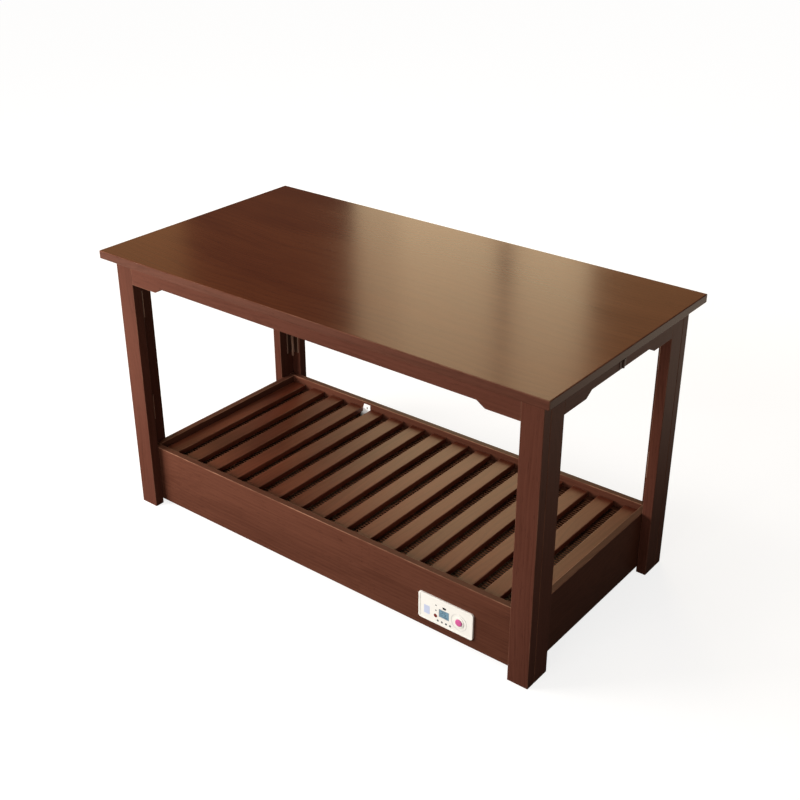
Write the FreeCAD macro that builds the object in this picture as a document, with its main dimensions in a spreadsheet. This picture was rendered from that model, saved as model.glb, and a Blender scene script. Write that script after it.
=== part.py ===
import FreeCAD, Part
import os
import re
import Sketcher
from FreeCAD import Placement, Rotation, Vector

# Low heated table: a loose top on a folding leg frame, over a heater box with a slatted foot grille.
# Millimetres, +Z up. The origin is on the floor at the middle of the table.
# +X runs along the table to its right end, and the front, with the control panel, faces -Y.

SIZES = {
    "table_height": 760,
    "top_length": 1360,
    "top_width": 700,
    "top_thick": 22,
    "top_edge_round": 2.5,
    "end_overhang": 27.5,
    "front_overhang": 29,
    "top_batten_width": 60,
    "top_batten_thick": 18,
    "top_batten_setback": 14,
    "top_batten_leg_gap": 196.5,
    "side_board_width": 56,
    "side_board_thick": 27,
    "end_board_width": 53.2,
    "end_board_thick": 27,
    "board_seam": 0.8,
    "edge_round": 1.5,
    "apron_thick": 22,
    "apron_depth": 48,
    "bracket_drop": 14,
    "bracket_reach": 88,
    "bracket_slope": 22,
    "bracket_round": 7,
    "apron_split": 1,
    "hinge_length": 76,
    "hinge_low_rise": 72,
    "hinge_high_drop": 102,
    "leaf_width": 17,
    "leaf_thick": 1.6,
    "barrel_radius": 3.5,
    "pin_radius": 1.6,
    "pin_fit": 0.05,
    "part_gap": 0.3,
    "finial_radius": 3,
    "finial_length": 14,
    "screw_radius": 1.5,
    "screw_head_radius": 3.1,
    "screw_length": 12,
    "mid_hinge_length": 18,
    "mid_hinge_setup": 2,
    "mid_leaf_width": 11,
    "mid_leaf_thick": 1.2,
    "mid_barrel_radius": 2.5,
    "box_fit": 0.5,
    "box_height": 180,
    "foot_height": 13,
    "foot_radius": 18,
    "foot_top_radius": 21,
    "foot_setback": 52,
    "panel_thick": 18,
    "floor_thick": 9,
    "ledge_width": 18,
    "ledge_depth": 14,
    "slat_recess": 18,
    "slat_thick": 15,
    "slat_width": 46,
    "slat_count": 16,
    "slat_round": 2,
    "slat_end_gap": 2,
    "grille_end_gap": 2.5,
    "grille_batten_width": 16,
    "grille_batten_thick": 12,
    "insulation_end_gap": 47,
    "insulation_side_gap": 60.5,
    "insulation_thick": 10,
    "pan_end_gap": 67,
    "pan_side_gap": 75.5,
    "pan_height": 28,
    "pan_flare": 22,
    "sheet_thick": 1,
    "holder_end_gap": 107,
    "holder_side_gap": 85.5,
    "holder_height": 62,
    "holder_flange": 20,
    "holder_thick": 1.5,
    "tube_radius": 6,
    "tube_wall": 1,
    "tube_side_setback": 70,
    "tube_lift": 43,
    "cap_radius": 8,
    "cap_collar_radius": 10.5,
    "cap_collar_length": 4,
    "cap_length": 36,
    "cap_grip": 20,
    "cap_overrun": 5,
    "guard_bar_width": 2,
    "guard_bar_thick": 1.2,
    "guard_spacing": 48,
    "guard_end_gap": 3,
    "guard_notch_depth": 30,
    "panel_plate_width": 160,
    "panel_plate_height": 75,
    "panel_plate_round": 7,
    "panel_plate_proud": 4,
    "panel_plate_edge": 1.2,
    "panel_rim_width": 5,
    "panel_rim_rise": 0.8,
    "panel_plate_leg_gap": 114.5,
    "shell_setback": 6,
    "shell_depth": 30,
    "shell_wall": 2,
    "face_thick": 3,
    "post_radius": 3,
    "board_setback": 10,
    "board_thick": 1.6,
    "display_width": 28,
    "display_height": 21.4,
    "display_place": -3.9,
    "display_drop": 1,
    "display_recess": 0.4,
    "window_thick": 2.6,
    "sensor_width": 10,
    "sensor_height": 5.8,
    "sensor_place": -3.3,
    "sensor_lift": 16.7,
    "button_place": 40,
    "button_drop": 2.5,
    "button_radius": 9.4,
    "button_proud": 3.5,
    "button_travel": 1.5,
    "collar_width": 4.5,
    "collar_rise": 1.2,
    "collar_edge": 0.6,
    "ring_radius": 22,
    "ring_width": 1.2,
    "ring_depth": 0.6,
    "key_radius": 2.5,
    "key_proud": 0.8,
    "key_travel": 0.6,
    "key_spacing": 12.1,
    "key_place": -21.7,
    "key_drop": 25.2,
    "lamp_radius": 2,
    "lamp_proud": 0.3,
    "lamp_place": -27.6,
    "lamp_high_lift": 17.2,
    "lamp_low_lift": 2.2,
    "red_lamp_radius": 5,
    "red_lamp_place": -28.6,
    "red_lamp_drop": 13.7,
    "lug_width": 22.5,
    "lug_flare": 30,
    "lug_setdown": 6.5,
    "lug_length": 84,
    "lug_thick": 1.2,
    "lug_notch_depth": 14,
    "lug_screw_drop": 11,
    "lug_screw_radius": 2.6,
    "lug_screw_proud": 1.4,
    "cutout_radius": 9,
    "cutout_depth": 9,
    "cutout_lift": 14,
    "inlet_end_setback": 145,
    "inlet_height": 62,
    "inlet_bore": 4,
    "inlet_barrel": 8,
    "inlet_flange": 14,
    "inlet_flange_thick": 4,
    "inlet_nose": 10,
    "inlet_nut": 5,
    "lug_place_share": 3.5,
    "plate_rise_share": 0.5465,
    "finial_tip_share": 0.6,
    "finial_body_share": 0.8,
    "crown_rim_share": 0.8,
    "crown_fall_share": 0.96,
    "shoulder_rim_share": 0.95,
    "shoulder_fall_share": 0.8,
    "wall_fall_share": 0.5,
    "screw_rim_share": 0.7,
    "screw_fall_share": 0.8,
    "cutout_neck_share": 0.6,
    "sensor_round_share": 0.45,
}

doc = FreeCAD.newDocument("HeatedTable")
sheet = doc.addObject("Spreadsheet::Sheet", "Sizes")
sheet.set("A1", "size")
sheet.set("B1", "mm")
for row, (alias, size) in enumerate(SIZES.items(), 2):
    sheet.set(f"A{row}", alias.replace("_", " "))
    sheet.set(f"B{row}", str(size))
    sheet.setAlias(f"B{row}", alias)
doc.recompute()

HAIR = 1e-6
ALIAS = re.compile(r"\b(" + "|".join(sorted(SIZES, key=len, reverse=True)) + r")\b")


def formula(text):
    """Words that name sizes, written as references to the sheet's cells."""
    return ALIAS.sub(r"Sizes.\1", str(text))


def amount(text):
    """What a formula comes to, for places that only Part's own functions can take."""
    return float(sheet.evalExpression(formula(text)))


def bind(thing, name, text):
    thing.setExpression(name, formula(text))


# Planes and levels that several pieces share
half_length = "(top_length / 2 - end_overhang)"
half_width = "(top_width / 2 - front_overhang)"
frame_top = "(table_height - top_thick)"
inner_x = f"({half_length} - end_board_thick)"
inner_y = f"({half_width} - side_board_thick)"
leg_gap_x = f"({half_length} - side_board_width)"
end_board_y = f"({inner_y} - board_seam)"
leg_gap_y = f"({end_board_y} - end_board_width)"
apron_low = f"({frame_top} - apron_depth)"
bracket_low = f"({apron_low} - bracket_drop)"
box_x = f"({inner_x} - box_fit)"
box_y = f"({inner_y} - box_fit)"
room_x = f"({box_x} - panel_thick)"
room_y = f"({box_y} - panel_thick)"
floor_top = "(foot_height + floor_thick)"
slat_top = "(box_height - slat_recess)"
slat_low = f"({slat_top} - slat_thick)"
ledge_top = f"({slat_low} - grille_batten_thick)"
grille_x = f"({room_x} - grille_end_gap)"
slat_pitch = f"((2 * {grille_x} - slat_width) / (slat_count - 1))"
pan_base = f"({floor_top} + insulation_thick)"
pan_top = f"({pan_base} + sheet_thick)"
tube_height = f"({pan_top} + tube_lift)"
heater_x = f"({room_x} - holder_end_gap)"
holder_width = f"(2 * ({room_y} - holder_side_gap))"
tube_spacing = f"({holder_width} / 2 - tube_side_setback)"
plate_place = f"({leg_gap_x} - panel_plate_leg_gap - panel_plate_width / 2)"
plate_middle = f"({floor_top} + ({ledge_top} - ledge_depth - {floor_top}) * plate_rise_share)"
face_y = f"(-{box_y} - panel_plate_proud)"
face_back = f"({face_y} + face_thick)"
board_y = f"({face_back} + board_setback)"
lug_x = f"({slat_pitch} * lug_place_share - {grille_x} + slat_width / 2)"
lug_y = f"({room_y} - lug_thick)"
lug_top = "(box_height - lug_setdown)"
lug_low = f"({lug_top} - lug_length)"


# Builders that the pieces share
def plane_of(body, role):
    return next(plane for plane in body.Origin.OriginFeatures if plane.Role == role)


def new_body(label, at):
    """A body whose own origin stands at the given place."""
    body = doc.addObject("PartDesign::Body", label)
    body.Label = label
    for axis, text in zip("xyz", at):
        bind(body, f"Placement.Base.{axis}", text)
    return body


def new_sketch(body, name, role, lift="0"):
    sketch = body.newObject("Sketcher::SketchObject", name)
    sketch.AttachmentSupport = [(plane_of(body, role), "")]
    sketch.MapMode = "FlatFace"
    bind(sketch, "AttachmentOffset.Base.z", lift)
    return sketch


def draw_outline(sketch, points):
    """A closed outline of straight lines, each corner held at its named place."""
    first = sketch.GeometryCount
    spots = [Vector(amount(along), amount(up), 0) for along, up in points]
    for index, spot in enumerate(spots):
        sketch.addGeometry(Part.LineSegment(spot, spots[(index + 1) % len(spots)]), False)
    for index in range(len(spots)):
        following = (index + 1) % len(spots)
        sketch.addConstraint(Sketcher.Constraint("Coincident", first + index, 2, first + following, 1))
    for index, (along, up) in enumerate(points):
        for kind, text in (("DistanceX", along), ("DistanceY", up)):
            place = sketch.addConstraint(
                Sketcher.Constraint(kind, -1, 1, first + index, 1, amount(text)))
            bind(sketch, f"Constraints[{place}]", text)


def draw_circle(sketch, along, up, radius):
    """A circle held by its centre and its radius."""
    index = sketch.addGeometry(
        Part.Circle(Vector(amount(along), amount(up), 0), Vector(0, 0, 1), amount(radius)), False)
    for kind, text in (("DistanceX", along), ("DistanceY", up)):
        place = sketch.addConstraint(Sketcher.Constraint(kind, -1, 1, index, 3, amount(text)))
        bind(sketch, f"Constraints[{place}]", text)
    place = sketch.addConstraint(Sketcher.Constraint("Radius", index, amount(radius)))
    bind(sketch, f"Constraints[{place}]", radius)


def rectangle(width, height, low_x="0", low_y="0"):
    high_x = f"({low_x} + {width})"
    high_y = f"({low_y} + {height})"
    return [(low_x, low_y), (high_x, low_y), (high_x, high_y), (low_x, high_y)]


def block(width, height, middle_x, middle_y):
    """A rectangle about its middle."""
    return rectangle(width, height, f"({middle_x} - {width} / 2)", f"({middle_y} - {height} / 2)")


def pad(body, sketch, length, back=False):
    feature = body.newObject("PartDesign::Pad", sketch.Name + "Pad")
    feature.Profile = sketch
    bind(feature, "Length", length)
    feature.Reversed = back
    doc.recompute()
    return feature


def pocket(body, sketch, length, back=False):
    """A pocket, which has to take some of the solid away."""
    before = body.Shape.Volume
    feature = body.newObject("PartDesign::Pocket", sketch.Name + "Pocket")
    feature.Profile = sketch
    bind(feature, "Length", length)
    feature.Reversed = back
    doc.recompute()
    if body.Shape.Volume >= before:
        raise ValueError(f"{sketch.Name} cuts nothing")
    return feature


def edges_along(shape, direction):
    """Names of the straight edges that run in one direction."""
    names = []
    for index, edge in enumerate(shape.Edges, 1):
        if isinstance(edge.Curve, Part.Line) and edge.Curve.Direction.cross(direction).Length < HAIR:
            names.append(f"Edge{index}")
    return names


def ease(body, feature, names, radius):
    """Rounded edges."""
    rounding = body.newObject("PartDesign::Fillet", feature.Name + "Round")
    rounding.Base = (feature, names)
    bind(rounding, "Radius", radius)
    doc.recompute()
    return rounding


X = Vector(1, 0, 0)
Y = Vector(0, 1, 0)
Z = Vector(0, 0, 1)


def board(label, size, at, grain, radius="edge_round"):
    """A plain board with its four long edges eased."""
    body = new_body(label, at)
    sketch = new_sketch(body, label + "_end", "XY_Plane")
    draw_outline(sketch, rectangle(size[0], size[1]))
    solid = pad(body, sketch, size[2])
    ease(body, solid, edges_along(solid.Shape, grain), radius)
    return body


def turned(label, at, points, role="XZ_Plane"):
    """A piece turned about the upright line of its sketch, from half of its section."""
    body = new_body(label, at)
    sketch = new_sketch(body, label + "_section", role)
    draw_outline(sketch, points)
    feature = body.newObject("PartDesign::Revolution", label + "_turn")
    feature.Profile = sketch
    feature.ReferenceAxis = (sketch, ["V_Axis"])
    feature.Angle = 360
    doc.recompute()
    return body


def joined(label, shapes):
    """Like pieces that share one node as separate solids."""
    feature = doc.addObject("Part::Feature", label)
    feature.Label = label
    feature.Shape = Part.makeCompound(shapes)
    return feature


nodes = []

# Tabletop
top = board("tabletop", ("top_length", "top_width", "top_thick"),
            ("-top_length / 2", "-top_width / 2", frame_top), X, "top_edge_round")
solid = top.Tip
ease(top, solid, edges_along(solid.Shape, Y), "top_edge_round")
nodes.append(top)

batten_length = f"(2 * ({half_width} - apron_thick - top_batten_setback))"
batten_place = f"({leg_gap_x} - top_batten_leg_gap)"
battens = []
for side in (-1, 1):
    batten = board(f"top_batten_{'left' if side < 0 else 'right'}",
                   ("top_batten_width", batten_length, "top_batten_thick"),
                   (f"{side} * {batten_place} - top_batten_width / 2", f"-{batten_length} / 2",
                    f"{frame_top} - top_batten_thick"), Y)
    battens.append(batten)
nodes.append(joined("top_battens", [batten.Shape for batten in battens]))

# Leg frame: each leg is a side board and an end board that meet at a seam
for front in (-1, 1):
    row_name = "front" if front < 0 else "back"
    for end in (-1, 1):
        place = f"{row_name}_{'left' if end < 0 else 'right'}"
        side_low_x = leg_gap_x if end > 0 else f"-{half_length}"
        side_low_y = inner_y if front > 0 else f"-{half_width}"
        nodes.append(board(f"side_leg_board_{place}", ("side_board_width", "side_board_thick", frame_top),
                           (side_low_x, side_low_y, "0"), Z))
        end_low_x = inner_x if end > 0 else f"-{half_length}"
        end_low_y = leg_gap_y if front > 0 else f"-{end_board_y}"
        nodes.append(board(f"end_leg_board_{place}", ("end_board_thick", "end_board_width", frame_top),
                           (end_low_x, end_low_y, "0"), Z))


def slope_edges(shape):
    """Names of the edges at the top and foot of each bracket's slope."""
    lows = (amount(apron_low), amount(bracket_low))
    names = []
    for index, edge in enumerate(shape.Edges, 1):
        ends = [vertex.Point for vertex in edge.Vertexes]
        across = abs(edge.Length - amount("apron_thick")) < HAIR and abs(ends[0].z - ends[1].z) < HAIR
        if across and min(abs(ends[0].z - low) for low in lows) < HAIR:
            names.append((index, ends[0]))
    return names


def apron(label, role, at, reaches, points):
    """A rail whose lower edge steps down in a soft slope to a bracket at each leg."""
    body = new_body(label, at)
    sketch = new_sketch(body, label + "_side", role)
    draw_outline(sketch, points)
    solid = pad(body, sketch, "apron_thick", back=role == "XZ_Plane")
    names = []
    for index, spot in slope_edges(solid.Shape):
        along = spot.x if role == "XZ_Plane" else spot.y
        if min(abs(abs(along) - amount(reach)) for reach in reaches) < HAIR:
            names.append(f"Edge{index}")
    ease(body, solid, names, "bracket_round")
    return body


slope_foot_x = f"({leg_gap_x} - bracket_reach)"
slope_head_x = f"({slope_foot_x} - bracket_slope)"
for front in (-1, 1):
    low_y = f"({half_width} - apron_thick)" if front > 0 else f"-{half_width}"
    nodes.append(apron(f"{'front' if front < 0 else 'back'}_apron", "XZ_Plane", ("0", low_y, "0"),
                       (slope_foot_x, slope_head_x), [
        (f"-{leg_gap_x}", frame_top),
        (f"-{leg_gap_x}", bracket_low),
        (f"-{slope_foot_x}", bracket_low),
        (f"-{slope_head_x}", apron_low),
        (slope_head_x, apron_low),
        (slope_foot_x, bracket_low),
        (leg_gap_x, bracket_low),
        (leg_gap_x, frame_top),
    ]))

slope_foot_y = f"({leg_gap_y} - bracket_reach)"
slope_head_y = f"({slope_foot_y} - bracket_slope)"
for end in (-1, 1):
    low_x = f"({half_length} - apron_thick)" if end > 0 else f"-{half_length}"
    for front in (-1, 1):
        name = f"{'left' if end < 0 else 'right'}_apron_{'front' if front < 0 else 'back'}"
        nodes.append(apron(name, "YZ_Plane", (low_x, "0", "0"), (slope_foot_y, slope_head_y), [
            (f"{front} * apron_split / 2", frame_top),
            (f"{front} * apron_split / 2", apron_low),
            (f"{front} * {slope_head_y}", apron_low),
            (f"{front} * {slope_foot_y}", bracket_low),
            (f"{front} * {leg_gap_y}", bracket_low),
            (f"{front} * {leg_gap_y}", frame_top),
        ]))

# Corner hinge, built once with its pin on the upright axis and its leaves along +X and +Y
barrel_reach = "(barrel_radius + part_gap)"
leaf_end = f"({barrel_reach} + leaf_width)"
knuckle = "(hinge_length / 3)"


def hinge_leaf(label, along_x, keeps_middle):
    """A leaf with its share of the barrel, bored for the pin and sunk for two screws."""
    body = new_body(label, ("0", "0", "0"))
    sketch = new_sketch(body, label + "_plate", "XY_Plane")
    plate = rectangle(leaf_end, "leaf_thick", "0", f"-{barrel_reach}")
    draw_outline(sketch, plate if along_x else [(up, along) for along, up in plate])
    pad(body, sketch, "hinge_length")
    sketch = new_sketch(body, label + "_barrel", "XY_Plane")
    draw_circle(sketch, "0", "0", "barrel_radius")
    pad(body, sketch, "hinge_length")
    gone = [knuckle] if not keeps_middle else ["0", f"(2 * {knuckle})"]
    for count, low in enumerate(gone):
        sketch = new_sketch(body, f"{label}_notch_{count}", "XY_Plane", f"{low} - part_gap / 2")
        draw_outline(sketch, block(f"(2 * {barrel_reach})", f"(2 * {barrel_reach})", "0", "0"))
        pocket(body, sketch, f"{knuckle} + part_gap", back=True)
    sketch = new_sketch(body, label + "_bore", "XY_Plane")
    draw_circle(sketch, "0", "0", "pin_radius + pin_fit")
    pocket(body, sketch, "hinge_length", back=True)
    return body


def screw(label, at, turn):
    """A countersunk screw: its head's cone fills the leaf, and its shank runs on into the board."""
    head = doc.addObject("Part::Cone", label + "_head")
    bind(head, "Radius1", "screw_radius")
    bind(head, "Radius2", "screw_head_radius")
    bind(head, "Height", "leaf_thick")
    shank = doc.addObject("Part::Cylinder", label + "_shank")
    bind(shank, "Radius", "screw_radius")
    bind(shank, "Height", "screw_length")
    bind(shank, "Placement.Base.z", "-screw_length")
    whole = doc.addObject("Part::MultiFuse", label)
    whole.Shapes = [head, shank]
    doc.recompute()
    shape = whole.Shape.copy()
    shape.Placement = Placement(at, turn)
    return shape


screw_along = amount(f"{barrel_reach} + leaf_width / 2")
board_face = -amount(barrel_reach)
screw_heights = [amount("hinge_length / 6"), amount("hinge_length * 5 / 6")]
side_leaf = hinge_leaf("side_leaf", True, False)
end_leaf = hinge_leaf("end_leaf", False, True)
side_screws = [screw(f"side_screw_{count}", Vector(screw_along, board_face, height), Rotation(X, -90))
               for count, height in enumerate(screw_heights)]
end_screws = [screw(f"end_screw_{count}", Vector(board_face, screw_along, height), Rotation(Y, 90))
              for count, height in enumerate(screw_heights)]
pin_neck = "part_gap"
pin = turned("hinge_pin", ("0", "0", "0"), [
    ("0", "-finial_length"),
    ("finial_radius * finial_tip_share", "-finial_length"),
    ("finial_radius", "-finial_length * finial_body_share"),
    ("finial_radius", f"-{pin_neck}"),
    ("pin_radius", f"-{pin_neck}"),
    ("pin_radius", f"hinge_length + {pin_neck}"),
    ("finial_radius", f"hinge_length + {pin_neck}"),
    ("finial_radius", "hinge_length + finial_length * finial_body_share"),
    ("finial_radius * finial_tip_share", "hinge_length + finial_length"),
    ("0", "hinge_length + finial_length"),
])


def mirrored(shape, end, front):
    """A copy turned over so that what pointed along +X and +Y points towards the table's middle."""
    copy = shape.copy()
    if end > 0:
        copy = copy.mirror(Vector(0, 0, 0), X)
    if front > 0:
        copy = copy.mirror(Vector(0, 0, 0), Y)
    return copy


hinge_leaves = [side_leaf.Shape.cut(Part.makeCompound(side_screws)),
                end_leaf.Shape.cut(Part.makeCompound(end_screws))]
hinge_shapes = hinge_leaves + [pin.Shape] + side_screws + end_screws
for front in (-1, 1):
    for end in (-1, 1):
        copies = []
        for level in ("box_height + hinge_low_rise", f"{frame_top} - hinge_high_drop - hinge_length"):
            for shape in hinge_shapes:
                copy = mirrored(shape, end, front)
                copy.translate(Vector(end * amount(f"{inner_x} - {barrel_reach}"),
                                      front * amount(f"{inner_y} - {barrel_reach}"), amount(level)))
                copies.append(copy)
        name = f"corner_hinges_{'front' if front < 0 else 'back'}_{'left' if end < 0 else 'right'}"
        nodes.append(joined(name, copies))

# Small hinge over the split of each end apron, on its outer face
mid_reach = "(mid_barrel_radius + part_gap)"


def flat_leaf(label, side, keeps_middle):
    """A leaf that lies flat on the end apron, with its share of the barrel."""
    third = "(mid_hinge_length / 3)"
    body = new_body(label, ("0", "0", "0"))
    sketch = new_sketch(body, label + "_plate", "XY_Plane")
    plate = rectangle("mid_leaf_thick", f"({mid_reach} + mid_leaf_width)", f"-{mid_reach}", "0")
    draw_outline(sketch, [(along, f"{side} * {up}") for along, up in plate])
    pad(body, sketch, "mid_hinge_length")
    sketch = new_sketch(body, label + "_barrel", "XY_Plane")
    draw_circle(sketch, "0", "0", "mid_barrel_radius")
    pad(body, sketch, "mid_hinge_length")
    gone = [third] if not keeps_middle else ["0", f"(2 * {third})"]
    for count, low in enumerate(gone):
        sketch = new_sketch(body, f"{label}_notch_{count}", "XY_Plane", f"{low} - part_gap / 2")
        draw_outline(sketch, block(f"(2 * {mid_reach})", f"(2 * {mid_reach})", "0", "0"))
        pocket(body, sketch, f"{third} + part_gap", back=True)
    sketch = new_sketch(body, label + "_bore", "XY_Plane")
    draw_circle(sketch, "0", "0", "pin_radius / 2 + pin_fit")
    pocket(body, sketch, "mid_hinge_length", back=True)
    return body


flat_leaves = [flat_leaf("mid_leaf_front", -1, True), flat_leaf("mid_leaf_back", 1, False)]
mid_pin = doc.addObject("Part::Cylinder", "mid_pin")
bind(mid_pin, "Radius", "pin_radius / 2")
bind(mid_pin, "Height", "mid_hinge_length")
doc.recompute()
copies = []
for end in (-1, 1):
    for shape in [leaf.Shape for leaf in flat_leaves] + [mid_pin.Shape]:
        copy = mirrored(shape, -end, -1)
        copy.translate(Vector(end * amount(f"{half_length} + {mid_reach}"), 0,
                              amount(f"{apron_low} + mid_hinge_setup")))
        copies.append(copy)
nodes.append(joined("mid_hinges", copies))

# Heater box: four panels, a floor board on pads and two ledges for the grille
panel_height = "(box_height - foot_height)"
front_panel = board("front_panel", (f"2 * {box_x}", "panel_thick", panel_height),
                    (f"-{box_x}", f"-{box_y}", "foot_height"), X)
shell_width = "(panel_plate_width - 2 * shell_setback)"
shell_height = "(panel_plate_height - 2 * shell_setback)"
sketch = new_sketch(front_panel, "control_cut", "XZ_Plane")
draw_outline(sketch, block(f"({shell_width} + 2 * part_gap)", f"({shell_height} + 2 * part_gap)",
                           f"({box_x} + {plate_place})", f"({plate_middle} - foot_height)"))
pocket(front_panel, sketch, "panel_thick")
nodes.append(front_panel)

back_panel = board("back_panel", (f"2 * {box_x}", "panel_thick", panel_height),
                   (f"-{box_x}", room_y, "foot_height"), X)
sketch = new_sketch(back_panel, "inlet_cut", "XZ_Plane")
draw_circle(sketch, "inlet_end_setback", "inlet_height - foot_height", "inlet_barrel + part_gap")
pocket(back_panel, sketch, "panel_thick")
nodes.append(back_panel)

for end in (-1, 1):
    low_x = room_x if end > 0 else f"-{box_x}"
    nodes.append(board(f"{'left' if end < 0 else 'right'}_panel",
                       ("panel_thick", f"2 * {room_y}", panel_height),
                       (low_x, f"-{room_y}", "foot_height"), Y))
nodes.append(board("floor_board", (f"2 * {room_x}", f"2 * {room_y}", "floor_thick"),
                   (f"-{room_x}", f"-{room_y}", "foot_height"), X))

for front in (-1, 1):
    low_y = f"({room_y} - ledge_width)" if front > 0 else f"-{room_y}"
    ledge = board(f"{'front' if front < 0 else 'back'}_ledge",
                  (f"2 * {room_x}", "ledge_width", "ledge_depth"),
                  (f"-{room_x}", low_y, f"{ledge_top} - ledge_depth"), X)
    if front > 0:
        sketch = new_sketch(ledge, "lug_notch", "XY_Plane")
        draw_outline(sketch, rectangle("(lug_width + lug_flare + 4 * part_gap)", "lug_notch_depth",
                                       f"({room_x} + {lug_x} - lug_width / 2 - lug_flare - 2 * part_gap)",
                                       "(ledge_width - lug_notch_depth)"))
        pocket(ledge, sketch, "ledge_depth", back=True)
    nodes.append(ledge)

for front in (-1, 1):
    for end in (-1, 1):
        name = f"box_foot_{'front' if front < 0 else 'back'}_{'left' if end < 0 else 'right'}"
        spot = (f"{end} * ({box_x} - foot_setback)", f"{front} * ({box_y} - foot_setback)", "0")
        nodes.append(turned(name, spot, [
            ("0", "0"),
            ("foot_radius", "0"),
            ("foot_top_radius", "foot_height"),
            ("0", "foot_height"),
        ]))

# Heater: reflector pan on an insulating board, and three quartz tubes in end caps on folded holders
sheet_x = f"({room_x} - insulation_end_gap)"
sheet_y = f"({room_y} - insulation_side_gap)"
nodes.append(board("insulation_board", (f"2 * {sheet_x}", f"2 * {sheet_y}", "insulation_thick"),
                   (f"-{sheet_x}", f"-{sheet_y}", floor_top), X))

pan_x = f"({room_x} - pan_end_gap)"
pan = new_body("reflector_pan", (f"-{pan_x}", "0", pan_base))
sketch = new_sketch(pan, "pan_section", "YZ_Plane")
half_pan = f"({room_y} - pan_side_gap)"
draw_outline(sketch, [
    (f"-{half_pan} - pan_flare", "pan_height"),
    (f"-{half_pan}", "0"),
    (half_pan, "0"),
    (f"{half_pan} + pan_flare", "pan_height"),
    (f"{half_pan} + pan_flare - sheet_thick", "pan_height"),
    (f"{half_pan} - sheet_thick", "sheet_thick"),
    (f"sheet_thick - {half_pan}", "sheet_thick"),
    (f"sheet_thick - {half_pan} - pan_flare", "pan_height"),
])
pad(pan, sketch, f"2 * {pan_x}")
nodes.append(pan)

tube_places = (("front", f"-{tube_spacing}"), ("middle", "0"), ("back", tube_spacing))


def tube_holder(label, place, reach, hole):
    """A folded steel channel across the pan, holed for the three tubes."""
    body = new_body(label, (place, f"-{holder_width} / 2", pan_top))
    sketch = new_sketch(body, label + "_fold", "XZ_Plane")
    draw_outline(sketch, [
        ("0", "0"),
        (f"{reach} * holder_flange", "0"),
        (f"{reach} * holder_flange", "holder_thick"),
        (f"{reach} * holder_thick", "holder_thick"),
        (f"{reach} * holder_thick", "holder_height - holder_thick"),
        (f"{reach} * holder_flange", "holder_height - holder_thick"),
        (f"{reach} * holder_flange", "holder_height"),
        ("0", "holder_height"),
    ])
    pad(body, sketch, holder_width, back=True)
    sketch = new_sketch(body, label + "_holes", "YZ_Plane")
    for name, across in tube_places:
        draw_circle(sketch, f"{holder_width} / 2 + {across}", "tube_lift", hole)
    pocket(body, sketch, "holder_thick", back=reach > 0)
    return body


nodes.append(tube_holder("tube_holder_left", f"-{heater_x}", -1, "cap_radius + part_gap"))
nodes.append(tube_holder("tube_holder_middle", "0", 1, "tube_radius + part_gap"))
nodes.append(tube_holder("tube_holder_right", heater_x, 1, "cap_radius + part_gap"))

for name, across in tube_places:
    tube = new_body(f"heating_tube_{name}", (f"-{heater_x} - cap_overrun", across, tube_height))
    sketch = new_sketch(tube, f"{name}_tube_ring", "YZ_Plane")
    draw_circle(sketch, "0", "0", "tube_radius")
    draw_circle(sketch, "0", "0", "tube_radius - tube_wall")
    pad(tube, sketch, f"2 * ({heater_x} + cap_overrun)")
    nodes.append(tube)

cap = turned("ceramic_cap", ("0", "0", "0"), [
    ("tube_radius + pin_fit", "-cap_grip"),
    ("cap_radius", "-cap_grip"),
    ("cap_radius", "-cap_collar_length"),
    ("cap_collar_radius", "-cap_collar_length"),
    ("cap_collar_radius", "0"),
    ("cap_radius", "0"),
    ("cap_radius", "cap_length - cap_grip"),
    ("0", "cap_length - cap_grip"),
    ("0", "cap_overrun + part_gap"),
    ("tube_radius + pin_fit", "cap_overrun + part_gap"),
])
caps = []
for end in (-1, 1):
    for name, across in tube_places:
        copy = cap.Shape.copy()
        spot = Vector(end * amount(heater_x), amount(across), amount(tube_height))
        copy.Placement = Placement(spot, Rotation(Y, 90 * end))
        caps.append(copy)
nodes.append(joined("ceramic_caps", caps))

# Control panel: a rounded plate with a shell behind it, let into the front panel
plate_low = f"({plate_middle} - panel_plate_height / 2)"
plate_x = f"({plate_place} - panel_plate_width / 2)"
housing = new_body("control_housing", (plate_x, face_y, plate_low))
sketch = new_sketch(housing, "plate", "XZ_Plane", "panel_rim_rise")
draw_outline(sketch, rectangle("panel_plate_width", "panel_plate_height"))
solid = pad(housing, sketch, "panel_plate_proud + panel_rim_rise", back=True)
solid = ease(housing, solid, edges_along(solid.Shape, Y), "panel_plate_round")
rim = [f"Edge{index}" for index, edge in enumerate(solid.Shape.Edges, 1)
       if all(abs(vertex.Point.y - solid.Shape.BoundBox.YMin) < HAIR for vertex in edge.Vertexes)]
ease(housing, solid, rim, "panel_plate_edge")
sketch = new_sketch(housing, "sunk_face", "XZ_Plane", "panel_rim_rise")
draw_outline(sketch, rectangle("(panel_plate_width - 2 * panel_rim_width)",
                               "(panel_plate_height - 2 * panel_rim_width)",
                               "panel_rim_width", "panel_rim_width"))
solid = pocket(housing, sketch, "panel_rim_rise")
corners = [f"Edge{index}" for index, edge in enumerate(solid.Shape.Edges, 1)
           if isinstance(edge.Curve, Part.Line) and abs(edge.Curve.Direction.cross(Y).Length) < HAIR
           and abs(edge.Length - amount("panel_rim_rise")) < HAIR]
ease(housing, solid, corners, "panel_plate_round - panel_rim_width")
sketch = new_sketch(housing, "shell", "XZ_Plane", "-panel_plate_proud")
draw_outline(sketch, rectangle(shell_width, shell_height, "shell_setback", "shell_setback"))
pad(housing, sketch, "shell_depth", back=True)
sketch = new_sketch(housing, "shell_room", "XZ_Plane", "-panel_plate_proud - shell_depth")
inset = "(shell_setback + shell_wall)"
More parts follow.
